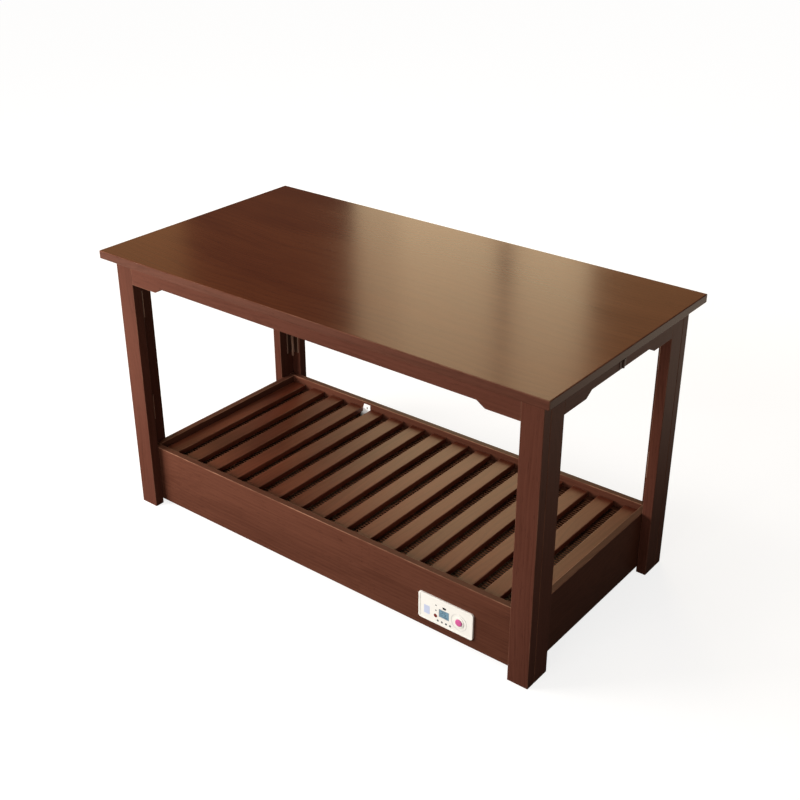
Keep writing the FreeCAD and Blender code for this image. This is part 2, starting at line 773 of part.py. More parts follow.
draw_outline(sketch, rectangle(f"(panel_plate_width - 2 * {inset})", f"(panel_plate_height - 2 * {inset})",
                               inset, inset))
pocket(housing, sketch, "panel_plate_proud + shell_depth - face_thick", back=True)
post_x = f"({inset} + 2 * post_radius)"
post_z = f"({inset} + 2 * post_radius)"
sketch = new_sketch(housing, "posts", "XZ_Plane", "-face_thick")
for across in (post_x, f"(panel_plate_width - {post_x})"):
    for up in (post_z, f"(panel_plate_height - {post_z})"):
        draw_circle(sketch, across, up, "post_radius")
pad(housing, sketch, "board_setback", back=True)

middle_x = "(panel_plate_width / 2)"
middle_z = "(panel_plate_height / 2)"
display_x = f"({middle_x} + display_place)"
display_z = f"({middle_z} - display_drop)"
sensor_x = f"({middle_x} + sensor_place)"
sensor_z = f"({middle_z} + sensor_lift)"
button_x = f"({middle_x} + button_place)"
button_z = f"({middle_z} - button_drop)"
lamp_x = f"({middle_x} + lamp_place)"
red_lamp_x = f"({middle_x} + red_lamp_place)"
red_lamp_z = f"({middle_z} - red_lamp_drop)"
key_z = f"({middle_z} - key_drop)"
key_places = [f"({middle_x} + key_place + {count} * key_spacing)" for count in range(4)]

sketch = new_sketch(housing, "button_collar", "XZ_Plane")
draw_circle(sketch, button_x, button_z, "button_radius + part_gap + collar_width")
solid = pad(housing, sketch, "collar_rise")
brow = [f"Edge{index}" for index, edge in enumerate(solid.Shape.Edges, 1)
        if all(abs(vertex.Point.y + amount("collar_rise")) < HAIR for vertex in edge.Vertexes)]
ease(housing, solid, brow, "collar_edge")
sketch = new_sketch(housing, "button_hole", "XZ_Plane", "collar_rise")
draw_circle(sketch, button_x, button_z, "button_radius + part_gap")
pocket(housing, sketch, "face_thick + collar_rise")

sketch = new_sketch(housing, "windows", "XZ_Plane")
draw_outline(sketch, block("(display_width + pin_fit * 2)", "(display_height + pin_fit * 2)",
                           display_x, display_z))
draw_outline(sketch, block("(sensor_width + pin_fit * 2)", "(sensor_height + pin_fit * 2)",
                           sensor_x, sensor_z))
for up in ("lamp_high_lift", "lamp_low_lift"):
    draw_circle(sketch, lamp_x, f"({middle_z} + {up})", "lamp_radius + pin_fit")
draw_circle(sketch, red_lamp_x, red_lamp_z, "red_lamp_radius + pin_fit")
for across in key_places:
    draw_circle(sketch, across, key_z, "key_radius + part_gap")
pocket(housing, sketch, "face_thick")
sketch = new_sketch(housing, "button_ring", "XZ_Plane")
draw_circle(sketch, button_x, button_z, "ring_radius")
draw_circle(sketch, button_x, button_z, "ring_radius - ring_width")
pocket(housing, sketch, "ring_depth")
nodes.append(housing)


def face_piece(label, points, thick, sink):
    """A flat piece let into the control panel's face."""
    body = new_body(label, (plate_x, f"{face_y} + {sink}", plate_low))
    sketch = new_sketch(body, label + "_face", "XZ_Plane")
    draw_outline(sketch, points)
    pad(body, sketch, thick, back=True)
    return body


nodes.append(face_piece("display_window", block("display_width", "display_height", display_x, display_z),
                        "window_thick", "display_recess"))
sensor = face_piece("sensor_window", block("sensor_width", "sensor_height", sensor_x, sensor_z),
                    "window_thick", "display_recess / 2")
solid = sensor.Tip
ease(sensor, solid, edges_along(solid.Shape, Y), "sensor_height * sensor_round_share")
nodes.append(sensor)
control_board = new_body("control_board", (plate_x, board_y, plate_low))
sketch = new_sketch(control_board, "circuit", "XZ_Plane")
clear_inset = f"({inset} + part_gap)"
draw_outline(sketch, rectangle(f"(panel_plate_width - 2 * {clear_inset})",
                               f"(panel_plate_height - 2 * {clear_inset})", clear_inset, clear_inset))
pad(control_board, sketch, "board_thick", back=True)
nodes.append(control_board)

lamp_length = "(face_thick + board_setback + lamp_proud)"


def lamp(label, across, up, radius):
    body = new_body(label, (f"{plate_x} + {across}", f"{face_y} - lamp_proud", f"{plate_low} + {up}"))
    sketch = new_sketch(body, label + "_disc", "XZ_Plane")
    draw_circle(sketch, "0", "0", radius)
    pad(body, sketch, lamp_length, back=True)
    return body


small_lamps = [lamp(f"lamp_{level}", lamp_x, f"({middle_z} + lamp_{level}_lift)", "lamp_radius")
               for level in ("high", "low")]
nodes.append(joined("status_lamps", [piece.Shape for piece in small_lamps]))
nodes.append(lamp("heating_lamp", red_lamp_x, red_lamp_z, "red_lamp_radius"))


def push_piece(label, across, up, radius, proud, travel):
    """A crowned push piece with a collar that holds it behind the face, turned about its own axis."""
    body = new_body(label, (f"{plate_x} + {across}", face_y, f"{plate_low} + {up}"))
    sketch = new_sketch(body, label + "_section", "XY_Plane")
    collar_front = "(face_thick + part_gap)"
    collar_back = f"({collar_front} + board_thick / 2)"
    stem_end = f"(face_thick + board_setback - {travel} - part_gap)"
    draw_outline(sketch, [
        ("0", f"-{proud}"),
        (f"{radius} * crown_rim_share", f"-{proud} * crown_fall_share"),
        (f"{radius} * shoulder_rim_share", f"-{proud} * shoulder_fall_share"),
        (radius, f"-{proud} * wall_fall_share"),
        (radius, collar_front),
        (f"{radius} + 3 * part_gap", collar_front),
        (f"{radius} + 3 * part_gap", collar_back),
        (f"{radius} / 2", collar_back),
        (f"{radius} / 2", stem_end),
        ("0", stem_end),
    ])
    feature = body.newObject("PartDesign::Revolution", label + "_turn")
    feature.Profile = sketch
    feature.ReferenceAxis = (sketch, ["V_Axis"])
    feature.Angle = 360
    doc.recompute()
    return body


nodes.append(push_piece("power_button", button_x, button_z, "button_radius", "button_proud",
                        "button_travel"))
for count, across in enumerate(key_places, 1):
    nodes.append(push_piece(f"key_{count}", across, key_z, "key_radius", "key_proud", "key_travel"))

# Overheat cut-out on its white lug, inside the back panel between two slats
lug = new_body("cutout_lug", (lug_x, lug_y, "0"))
sketch = new_sketch(lug, "lug_face", "XZ_Plane")
draw_outline(sketch, [
    ("-lug_width / 2", lug_top),
    ("-lug_width / 2 - lug_flare", lug_low),
    ("lug_width / 2", lug_low),
    ("lug_width / 2", lug_top),
])
pad(lug, sketch, "lug_thick", back=True)
nodes.append(lug)
nodes.append(turned("lug_screw", (lug_x, lug_y, f"{lug_top} - lug_screw_drop"), [
    ("0", "-lug_screw_proud"),
    ("lug_screw_radius * screw_rim_share", "-lug_screw_proud * screw_fall_share"),
    ("lug_screw_radius", "0"),
    ("0", "0"),
], role="XY_Plane"))
nodes.append(turned("thermal_cutout", (f"{lug_x} - lug_flare / 2", lug_y, f"{lug_low} + cutout_lift"), [
    ("0", "-cutout_depth"),
    ("cutout_radius * cutout_neck_share", "-cutout_depth"),
    ("cutout_radius * cutout_neck_share", "-cutout_depth * cutout_neck_share"),
    ("cutout_radius", "-cutout_depth * cutout_neck_share"),
    ("cutout_radius", "0"),
    ("0", "0"),
], role="XY_Plane"))

# Cable gland through the back panel
nodes.append(turned("cable_inlet", (f"inlet_end_setback - {box_x}", box_y, "inlet_height"), [
    ("inlet_bore", "-panel_thick - inlet_nut"),
    ("inlet_flange", "-panel_thick - inlet_nut"),
    ("inlet_flange", "-panel_thick"),
    ("inlet_barrel", "-panel_thick"),
    ("inlet_barrel", "0"),
    ("inlet_flange", "0"),
    ("inlet_flange", "inlet_flange_thick"),
    ("inlet_nose", "inlet_flange_thick"),
    ("inlet_barrel", "inlet_flange_thick + inlet_nose"),
    ("inlet_bore", "inlet_flange_thick + inlet_nose"),
], role="XY_Plane"))

# Foot grille: slats on battens that lie on the ledges, lifted out as one, with room for the lug at the back
slat_length = f"(2 * ({room_y} - slat_end_gap))"
slats = []
for count in range(int(amount("slat_count"))):
    spot = (f"{count} * {slat_pitch} - {grille_x}", f"-{slat_length} / 2", slat_low)
    size = ("slat_width", slat_length, "slat_thick")
    slats.append(board(f"slat_{count + 1}", size, spot, Y, "slat_round"))
nodes.append(joined("grille_slats", [slat.Shape for slat in slats]))
batten_y = f"({slat_length} / 2)"
nodes.append(board("grille_batten_front", (f"2 * {grille_x}", "grille_batten_width", "grille_batten_thick"),
                   (f"-{grille_x}", f"-{batten_y}", ledge_top), X))
lug_reach = f"(lug_width / 2 + lug_flare * ({lug_top} - {ledge_top}) / lug_length)"
halves = []
for name, start, stop in (("left", f"-{grille_x}", f"({lug_x} - {lug_reach} - 2 * part_gap)"),
                          ("right", f"({lug_x} + lug_width / 2 + 2 * part_gap)", grille_x)):
    halves.append(board(f"grille_batten_back_{name}",
                        (f"({stop} - {start})", "grille_batten_width", "grille_batten_thick"),
                        (start, f"({batten_y} - grille_batten_width)", ledge_top), X))
nodes.append(joined("grille_batten_back", [half.Shape for half in halves]))

# Guard mesh under the slats, between the two battens, with a notch round the lug
guard_x = f"({grille_x} - guard_end_gap)"
guard_y = f"({batten_y} - grille_batten_width - part_gap)"
guard_low = f"({slat_low} - guard_bar_thick)"


def guard_bars(label, reach, across, long_side, wide_side):
    """Flat bars side by side, from one edge of the mesh to the other."""
    spaces = int(amount(f"2 * {reach} / guard_spacing"))
    bars = []
    for step in range(spaces + 1):
        bar = doc.addObject("Part::Box", f"{label}_{step}")
        bind(bar, long_side, f"2 * {across}")
        bind(bar, wide_side, "guard_bar_width")
        bind(bar, "Height", "guard_bar_thick")
        place = f"{step} / {spaces} * (2 * {reach} - guard_bar_width) - {reach}"
        bind(bar, "Placement.Base.x", place if long_side == "Width" else f"-{across}")
        bind(bar, "Placement.Base.y", place if long_side == "Length" else f"-{across}")
        bind(bar, "Placement.Base.z", guard_low)
        bars.append(bar)
    return bars


web = doc.addObject("Part::MultiFuse", "guard_web")
web.Shapes = (guard_bars("long_bar", guard_y, guard_x, "Length", "Width")
              + guard_bars("cross_bar", guard_x, guard_y, "Width", "Length"))
web.Refine = True
notch = doc.addObject("Part::Box", "guard_notch")
bind(notch, "Length", "lug_width + lug_flare + 4 * part_gap")
bind(notch, "Width", "guard_notch_depth + part_gap")
bind(notch, "Height", "3 * guard_bar_thick")
bind(notch, "Placement.Base.x", f"{lug_x} - lug_width / 2 - lug_flare - 2 * part_gap")
bind(notch, "Placement.Base.y", f"{guard_y} - guard_notch_depth")
bind(notch, "Placement.Base.z", f"{guard_low} - guard_bar_thick")
guard = doc.addObject("Part::Cut", "guard_mesh")
guard.Label = "guard_mesh"
guard.Base, guard.Tool = web, notch
doc.recompute()
nodes.append(guard)

# Every feature is sound before anything is written
doc.recompute()
for thing in doc.Objects:
    if "Invalid" in thing.State or "Error" in thing.State:
        raise ValueError(f"{thing.Name} failed: {thing.State}")
os.makedirs("parts", exist_ok=True)
for node in nodes:
    if node.Shape.isNull() or not node.Shape.isValid() or not node.Shape.Solids:
        raise ValueError(f"{node.Label} has no sound solid")
for node in nodes:
    node.Shape.exportStep(f"parts/{node.Label}.step")
print(len(nodes), "sub-parts")
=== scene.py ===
import math

import bpy
from bpy.props import FloatProperty, FloatVectorProperty, IntProperty, PointerProperty
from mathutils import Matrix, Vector


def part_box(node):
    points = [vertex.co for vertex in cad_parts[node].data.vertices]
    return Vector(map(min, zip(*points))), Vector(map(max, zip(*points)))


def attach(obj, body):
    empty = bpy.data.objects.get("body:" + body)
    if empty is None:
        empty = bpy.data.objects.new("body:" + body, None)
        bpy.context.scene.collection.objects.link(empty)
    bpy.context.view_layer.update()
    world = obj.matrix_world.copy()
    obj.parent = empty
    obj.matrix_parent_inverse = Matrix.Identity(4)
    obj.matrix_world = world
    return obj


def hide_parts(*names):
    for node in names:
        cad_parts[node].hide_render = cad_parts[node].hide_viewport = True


bl_info = {
    "name": "Heated Table Finish",
    "version": (1, 0, 0),
    "blender": (4, 5, 0),
    "location": "View3D > Sidebar > Table",
    "description": "Stained wood, control panel and studio for a low heated table",
    "category": "Object",
}

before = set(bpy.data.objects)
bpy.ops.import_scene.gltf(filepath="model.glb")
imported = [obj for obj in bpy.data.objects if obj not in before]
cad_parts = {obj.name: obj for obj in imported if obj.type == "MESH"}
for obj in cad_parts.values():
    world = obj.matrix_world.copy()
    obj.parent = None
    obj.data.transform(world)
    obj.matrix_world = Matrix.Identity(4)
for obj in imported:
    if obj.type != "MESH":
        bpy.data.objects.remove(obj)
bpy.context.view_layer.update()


def colour(name, default, description):
    return FloatVectorProperty(name=name, description=description, default=default,
                               subtype="COLOR", size=3, min=0, max=1)


def length(name, default, description):
    return FloatProperty(name=name, description=description, default=default, unit="LENGTH", min=0)


def share(name, default, description):
    return FloatProperty(name=name, description=description, default=default, subtype="FACTOR", min=0, max=1)


class WoodLooks(bpy.types.PropertyGroup):
    top_dark: colour("Top, dark grain", (0.066, 0.0125, 0.0036), "Stain in the dark grain of the tabletop")
    top_light: colour("Top, light grain", (0.110, 0.027, 0.0078), "Stain in the light grain of the tabletop")
    frame_dark: colour("Frame, dark grain", (0.052, 0.0158, 0.0097), "Stain in the dark grain of the leg frame")
    frame_light: colour("Frame, light grain", (0.092, 0.0312, 0.0205), "Stain in the light grain of the leg frame")
    box_dark: colour("Box, dark grain", (0.056, 0.0180, 0.0108), "Stain in the dark grain of the heater box")
    box_light: colour("Box, light grain", (0.104, 0.0370, 0.0225), "Stain in the light grain of the heater box")
    slat_dark: colour("Slats, dark grain", (0.076, 0.017, 0.008), "Stain in the dark grain of the foot grille")
    slat_light: colour("Slats, light grain", (0.156, 0.040, 0.020), "Stain in the light grain of the foot grille")
    inner: colour("Inner boards", (0.120, 0.060, 0.035), "Plain stain of the boards that are out of sight")
    # The worn edge colour is partly wear and partly a painted highlight along the edges.
    worn_edge_and_highlight: colour("Worn edge", (0.300, 0.150, 0.095), "Wood that shows where the stain has rubbed off the edges")
    top_gloss: share("Top roughness", 0.17, "Roughness of the tabletop's lacquer")
    frame_gloss: share("Frame roughness", 0.44, "Roughness of the lacquer on legs, aprons and box")
    slat_gloss: share("Slat roughness", 0.34, "Roughness of the lacquer on the slats")
    top_shine: share("Top shine", 0.16, "Specular level of the tabletop's lacquer")
    frame_shine: share("Frame shine", 0.12, "Specular level of the lacquer on legs, aprons and box")
    slat_shine: share("Slat shine", 0.34, "Specular level of the lacquer on the slats")
    ring_depth: share("Ring depth", 0.08, "How much darker the late wood of each year is")
    ring_spacing: length("Ring spacing", 0.011, "Width of one year's growth in the boards")
    wear_and_highlight_width: length("Wear width", 0.0022, "How far the rubbed stain reaches from an edge")


class PanelLooks(bpy.types.PropertyGroup):
    plate: colour("Plate", (0.86, 0.85, 0.81), "Ivory of the control panel's plate")
    display: colour("Display", (0.17, 0.31, 0.42), "Blue-grey of the liquid-crystal window")
    segment: colour("Display segments", (0.02, 0.04, 0.06), "Dark segments of the display")
    button: colour("Push button", (0.62, 0.11, 0.32), "Pink of the large push button")
    key: colour("Keys", (0.11, 0.13, 0.13), "Dark grey of the small keys")
    square: colour("Pale square", (0.52, 0.58, 0.76), "Plain pale square at the left of the plate")
    red_lamp: colour("Red lamp", (0.17, 0.018, 0.016), "Lens of the heating lamp")
    display_recess: length("Display recess", 0.0004, "How far the display lies behind the plate's face")
    square_inset: length("Pale square inset", 0.0255, "From the plate's left edge to the middle of the square")
    square_drop: length("Pale square drop", 0.007, "How far the square sits below the middle of the plate")
    square_width: length("Pale square width", 0.017, "Width of the plain pale square")
    square_height: length("Pale square height", 0.024, "Height of the plain pale square")
    print_thick: length("Print thickness", 0.00012, "How far a print stands off the plate")
    # The faint circle is painted shade of a low step round the push button.
    step_radius: length("Step radius", 0.0225, "Radius of the faint circle about the push button")
    step_width: length("Step width", 0.0011, "Half the width of the faint circle")
    step_shade: colour("Step shade", (0.50, 0.50, 0.52), "Shade in the faint circle")


class HeaterLooks(bpy.types.PropertyGroup):
    # The bright bronze on the barrels and leaf edges is partly rubbed metal and partly a painted highlight.
    hinge: colour("Hinges", (0.52, 0.34, 0.25), "Antique bronze, rubbed bright on the hinges' barrels and edges")
    leaf: colour("Hinge leaves", (0.060, 0.026, 0.016), "Dark bronze lacquer on the flat of the hinges' leaves")
    leaf_edge: length("Leaf edge", 0.0016, "Width of the bright edge of a hinge's leaf")
    barrel_start: length("Barrel start", 0.0172, "From the leaf's edge to the barrel")
    steel: colour("Steel", (0.56, 0.55, 0.53), "Zinc-plated steel")
    # The reflector's dark colour, also used on the tube holders, paints the shade inside the heater box.
    reflector: colour("Reflector", (0.09, 0.08, 0.07), "Heat-darkened steel of the reflector pan")
    quartz: colour("Quartz", (0.10, 0.025, 0.012), "Dark ruby coat of the quartz tubes")
    ceramic: colour("Ceramic", (0.16, 0.085, 0.05), "Brown glaze of the end caps")
    # The insulation's dark colour paints the shade inside the heater box.
    insulation: colour("Insulation", (0.06, 0.05, 0.04), "Dark ceramic-fibre board")
    circuit: colour("Circuit board", (0.02, 0.12, 0.05), "Solder mask of the circuit board")
    rubber: colour("Rubber", (0.025, 0.024, 0.023), "Rubber of the feet")
    net: colour("Guard net", (0.270, 0.112, 0.062), "Brown coat on the wires of the guard net")
    # The next colour is painted shade on the guard net beside the slat at the left of each gap; the length after
    # it is how far that shade reaches across the gap.
    net_shade: colour("Net soot", (0.045, 0.019, 0.011), "Coat of the guard net where the heat has browned it")
    shade_reach: length("Soot reach", 0.010, "How far the darker coat reaches across each gap")
    long_pitch: length("Long wire pitch", 0.0093, "Spacing of the guard net's wires that run along the table")
    long_wire: length("Long wire width", 0.0038, "Width of the guard net's wires that run along the table")
    cross_pitch: length("Cross wire pitch", 0.048, "Spacing of the guard net's wires that run across the table")
    cross_wire: length("Cross wire width", 0.0012, "Width of the guard net's wires that run across the table")
    lug_room: length("Lug room", 0.001, "Room in the guard net on each side of the lug")
    notch_depth: length("Net notch depth", 0.030, "How far the guard net's notch reaches in from its back edge")
    # Below this height the lug is given the dark insulation colour instead of white.
    dark_foot_top: length("Enamel foot", 0.122, "Height above the floor at which the lug's white enamel ends")
    lug: colour("Lug", (0.80, 0.79, 0.78), "White enamel of the cut-out's lug")
    # A painted glow in the lug's enamel stands in for light between the slats, though the lug is no lamp; it rises
    # between the next two heights.
    lug_glow: share("Lug lift", 0.30, "Even brightness that keeps the enamel white between the slats")
    glow_start: length("Lift start", 0.136, "Height above the floor at which the enamel starts to brighten")
    glow_full: length("Lift full", 0.146, "Height above the floor at which the enamel is brightest")


class StageLooks(bpy.types.PropertyGroup):
    floor: colour("Floor", (0.30, 0.30, 0.30), "Pale floor as the camera sees it")
    floor_glow: share("Floor glow", 0.81, "Even brightness that the camera sees in the floor near the table")
    far_glow: share("Far floor glow", 0.95, "Even brightness that the camera sees in the floor far away")
    floor_bounce: colour("Floor bounce", (0.12, 0.10, 0.09), "Floor as the object's diffuse light sees it")
    # Reflections find the floor dark near the table and bright far off: a painted shadow near the table.
    near_sheen: share("Near floor sheen", 0.05, "Brightness that reflections find in the floor near the table")
    far_sheen: share("Far floor sheen", 0.95, "Brightness that reflections find in the floor far away")
    sheen_tint: colour("Floor sheen tint", (1.0, 0.84, 0.68), "Tint that reflections find in the floor")
    floor_size: length("Floor size", 24.0, "Side of the square floor")
    key_power: FloatProperty(name="Key light", description="Power of the soft light at the front left",
                             default=155, unit="POWER")
    fill_power: FloatProperty(name="Front light", description="Power of the soft light in front of the table",
                              default=34, unit="POWER")
    right_power: FloatProperty(name="Right light", description="Power of the dim light at the front right",
                               default=14, unit="POWER")
    top_power: FloatProperty(name="Top light", description="Power of the soft light overhead",
                             default=40, unit="POWER")
    window_power: FloatProperty(name="Window light", description="Power for each metre of the windows' width",
                                default=65, unit="POWER")
    window_distance: length("Window distance", 6.5, "From the camera to the windows, along the floor")
    window_middle: length("Window middle", 2.6, "Height of the windows' middle")
    window_height: length("Window height", 4.4, "Height of the windows")
    window_tint: colour("Window tint", (1.0, 0.78, 0.48), "Warm tint of the windows behind the table")
    amber_tint: colour("Amber tint", (1.0, 0.60, 0.25), "Deeper tint of the outermost windows")
    world_tint: colour("World tint", (1.0, 0.90, 0.79), "Warm tint of the even light from all round")
    world: share("World", 0.11, "Strength of the even light from all round")
    camera_place: FloatVectorProperty(name="Camera place", description="Where the camera stands",
                                      default=(1.7446, -2.1756, 1.8543), subtype="TRANSLATION", unit="LENGTH")
    camera_turn: FloatVectorProperty(name="Camera turn", description="How the camera is turned",
                                     default=(math.radians(62.48), 0.0, math.radians(38.226)), subtype="EULER")
    lens: FloatProperty(name="Lens", description="Focal length in millimetres on a 36 mm sensor", default=54.34)


GROUPS = {
    "table_wood": WoodLooks,
    "table_panel": PanelLooks,
    "table_heater": HeaterLooks,
    "table_stage": StageLooks,
}


# Small helpers for node trees
class Tree:
    """A material's nodes, built from inputs to outputs."""

    def __init__(self, name):
        self.material = bpy.data.materials.new(name)
        self.material.use_nodes = True
        self.nodes = self.material.node_tree.nodes
        self.links = self.material.node_tree.links
        self.nodes.clear()
        self.shader = self.nodes.new("ShaderNodeBsdfPrincipled")
        self.output = self.nodes.new("ShaderNodeOutputMaterial")
        self.links.new(self.shader.outputs[0], self.output.inputs["Surface"])

    def feed(self, socket, value):
        if isinstance(value, bpy.types.NodeSocket):
            self.links.new(value, socket)
        elif value is not None:
            if hasattr(value, "__len__") and len(socket.default_value) == 4 and len(value) == 3:
                value = (*value, 1.0)
            socket.default_value = value

    def set(self, **sockets):
        for name, value in sockets.items():
            self.feed(self.shader.inputs[name.replace("_", " ")], value)

    def math(self, operation, first, second=None, third=None, clamp=False):
        node = self.nodes.new("ShaderNodeMath")
        node.operation = operation
        node.use_clamp = clamp
        for socket, value in zip(node.inputs, (first, second, third)):
            self.feed(socket, value)
        return node.outputs[0]

    def vector(self, operation, first, second=None):
        node = self.nodes.new("ShaderNodeVectorMath")
        node.operation = operation
        for socket, value in zip(node.inputs, (first, second)):
            self.feed(socket, value)
        return node.outputs["Value" if operation == "LENGTH" else "Vector"]

    def split(self, vector):
        node = self.nodes.new("ShaderNodeSeparateXYZ")
        self.feed(node.inputs[0], vector)
        return list(node.outputs)

    def join(self, x, y, z):
        node = self.nodes.new("ShaderNodeCombineXYZ")
        for socket, value in zip(node.inputs, (x, y, z)):
            self.feed(socket, value)
        return node.outputs[0]

    def place(self):
        return self.nodes.new("ShaderNodeTexCoord").outputs["Object"]

    def facing(self):
        return self.nodes.new("ShaderNodeTexCoord").outputs["Normal"]

    def noise(self, vector, scale, detail=3.0, roughness=0.5, distortion=0.0):
        node = self.nodes.new("ShaderNodeTexNoise")
        self.feed(node.inputs["Vector"], vector)
        for name, value in (("Scale", scale), ("Detail", detail), ("Roughness", roughness),
                            ("Distortion", distortion)):
            node.inputs[name].default_value = value
        return node.outputs["Fac"]

    def ramp(self, value, low, high, low_out=0.0, high_out=1.0):
        node = self.nodes.new("ShaderNodeMapRange")
        node.interpolation_type = "SMOOTHSTEP"
        for socket, amount in zip(node.inputs, (value, low, high, low_out, high_out)):
            self.feed(socket, amount)
        return node.outputs[0]

    def mix(self, share_in, first, second, blend="MIX"):
        node = self.nodes.new("ShaderNodeMix")
        node.data_type = "RGBA"
        node.blend_type = blend
        self.feed(node.inputs["Factor"], share_in)
        sockets = [socket for socket in node.inputs if socket.type == "RGBA"]
        for socket, value in zip(sockets, (first, second)):
            self.feed(socket, value)
        return next(socket for socket in node.outputs if socket.type == "RGBA")

    def bump(self, height, strength, distance):
        node = self.nodes.new("ShaderNodeBump")
        node.inputs["Strength"].default_value = strength
        node.inputs["Distance"].default_value = distance
        self.feed(node.inputs["Height"], height)
        self.feed(self.shader.inputs["Normal"], node.outputs[0])


AXES = {"x": 0, "y": 1, "z": 2}


def stained_wood(node, grain, dark, light, roughness, shine, seed, pith, repeat=None, wear_and_highlight=1.0, relief=0.15,
                 sides=None):
    """Stained and lacquered wood cut from one log: its rings, fibres and pores follow the board's grain.

    The upright faces have a dark and a light tone of their own where sides gives them.
    """
    looks = bpy.context.scene.table_wood
    low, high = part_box(node)
    tree = Tree(f"{node}_wood")
    local = tree.split(tree.vector("SUBTRACT", tree.place(), tuple(low)))
    size = list(high - low)
    shift = 0.0
    if repeat:
        axis, pitch, width = repeat
        shift = tree.math("MULTIPLY", tree.math("FLOOR", tree.math("DIVIDE", local[AXES[axis]], pitch)), 7.31)
        local[AXES[axis]] = tree.math("FLOORED_MODULO", local[AXES[axis]], pitch)
        size[AXES[axis]] = width
    along = local[AXES[grain]]
    across = [local[index] for index in range(3) if index != AXES[grain]]
    run = tree.math("ADD", tree.math("ADD", along, seed * 3.7), shift)

    # Growth rings round a pith that wanders slowly along the board
    wander = tree.noise(tree.join(run, seed, shift), 1.3, 2.0, 0.5)
    wander = tree.math("MULTIPLY_ADD", wander, 0.16, -0.08)
    side = tree.math("ADD", tree.math("ADD", across[0], wander), pith[0])
    depth = tree.math("ADD", across[1], pith[1])
    ripple = tree.noise(tree.join(tree.math("MULTIPLY", run, 2.2), tree.math("MULTIPLY", side, 14.0), depth),
                        1.0, 3.0, 0.55)
    reach = tree.vector("LENGTH", tree.join(0.0, side, depth))
    reach = tree.math("MULTIPLY_ADD", ripple, looks.ring_spacing * 2.4, reach)
    year = tree.math("FRACT", tree.math("DIVIDE", reach, looks.ring_spacing))
    late = tree.math("MULTIPLY", tree.ramp(year, 0.30, 0.86), tree.ramp(year, 1.0, 0.90))

    # Fibres, pores and the cloudy tone of the stain
    fibre_place = tree.join(tree.math("MULTIPLY", run, 5.0), tree.math("MULTIPLY", side, 260.0),
                            tree.math("MULTIPLY", depth, 260.0))
    fibre = tree.noise(fibre_place, 1.0, 4.0, 0.62)
    pore_place = tree.join(tree.math("MULTIPLY", run, 34.0), tree.math("MULTIPLY", side, 950.0),
                           tree.math("MULTIPLY", depth, 950.0))
    pore = tree.ramp(tree.noise(pore_place, 1.0, 1.0, 0.4), 0.66, 0.74)
    cloud = tree.noise(tree.join(tree.math("MULTIPLY", run, 1.6), tree.math("MULTIPLY", side, 7.0),
                                 tree.math("MULTIPLY", depth, 7.0)), 1.0, 3.0, 0.55)
    tone = tree.math("MULTIPLY_ADD", fibre, 0.55, tree.math("MULTIPLY", cloud, 0.75))
    tone = tree.math("MULTIPLY_ADD", late, -looks.ring_depth, tone)
    tone = tree.ramp(tone, 0.26, 0.88)
    base = tree.mix(tone, dark, light)
    if sides:
        upright = tree.ramp(tree.math("ABSOLUTE", tree.split(tree.facing())[2]), 0.95, 0.80)
        base = tree.mix(upright, base, tree.mix(tone, *sides))
    base = tree.mix(tree.math("MULTIPLY", pore, 0.55), base, tuple(part * 0.35 for part in dark))

    # Stain rubbed thin along the edges of the board, which also paints a highlight along them
    gaps = [tree.math("MINIMUM", local[index], tree.math("SUBTRACT", size[index], local[index]))
            for index in range(3)]
    near = tree.math("MAXIMUM", tree.math("MINIMUM", gaps[0], gaps[1]),
                     tree.math("MINIMUM", tree.math("MAXIMUM", gaps[0], gaps[1]), gaps[2]))
    patch = tree.noise(tree.join(tree.math("MULTIPLY", run, 9.0), tree.math("MULTIPLY", side, 30.0),
                                 tree.math("MULTIPLY", depth, 30.0)), 1.0, 3.0, 0.6)
    rub_and_highlight = tree.math("MULTIPLY", tree.ramp(near, looks.wear_and_highlight_width, 0.0004),
                    tree.ramp(patch, 0.36, 0.66, 0.16 * wear_and_highlight, 0.75 * wear_and_highlight))
    base = tree.mix(rub_and_highlight, base, tuple(looks.worn_edge_and_highlight))

    # End grain drinks more stain
    end_face = tree.math("ABSOLUTE", tree.split(tree.facing())[AXES[grain]])
    base = tree.mix(tree.ramp(end_face, 0.75, 0.98, 0.0, 0.45), base, tuple(part * 0.7 for part in dark))

    gloss = tree.math("MULTIPLY_ADD", cloud, 0.10, roughness - 0.05)
    gloss = tree.math("MULTIPLY_ADD", rub_and_highlight, 0.12, gloss)
    tree.set(Base_Color=base, Roughness=gloss)
    tree.shader.inputs["Specular IOR Level"].default_value = shine
    tree.shader.inputs["Specular Tint"].default_value = (1.0, 0.80, 0.60, 1.0)
    relief_node = tree.math("MULTIPLY_ADD", pore, -0.7, tree.math("MULTIPLY", fibre, 0.3))
    tree.bump(relief_node, relief, 0.0002)
    dress(node, tree.material)
    return tree.material


def plain(name, base, roughness, metallic=0.0, grain=0.0, relief=0.0, scale=400.0, other=None, part=None,
          **more):
    """A moulded, cast or rolled finish with a little unevenness in its gloss, and a second tone if asked for.

    A further shader value can be a number, a colour or a function of the tree.
    """
    tree = Tree(name)
    speck = tree.noise(tree.place(), scale, 3.0, 0.55)
    shade = tuple(base)
    if grain:
        dust = tree.noise(tree.place(), 18.0, 3.0, 0.6)
        shade = tree.mix(tree.ramp(dust, 0.3, 0.75, 0.0, grain), tuple(base), tuple(part * 0.62 for part in base))
    if part:
        shade = tree.mix(part(tree), shade, tuple(other))
    tree.set(Base_Color=shade, Roughness=tree.math("MULTIPLY_ADD", speck, 0.10, roughness - 0.05),
             Metallic=metallic)
    for key, value in more.items():
        tree.feed(tree.shader.inputs[key.replace("_", " ")], value(tree) if callable(value) else value)
    if relief:
        tree.bump(speck, 0.4, relief)
    return tree.material


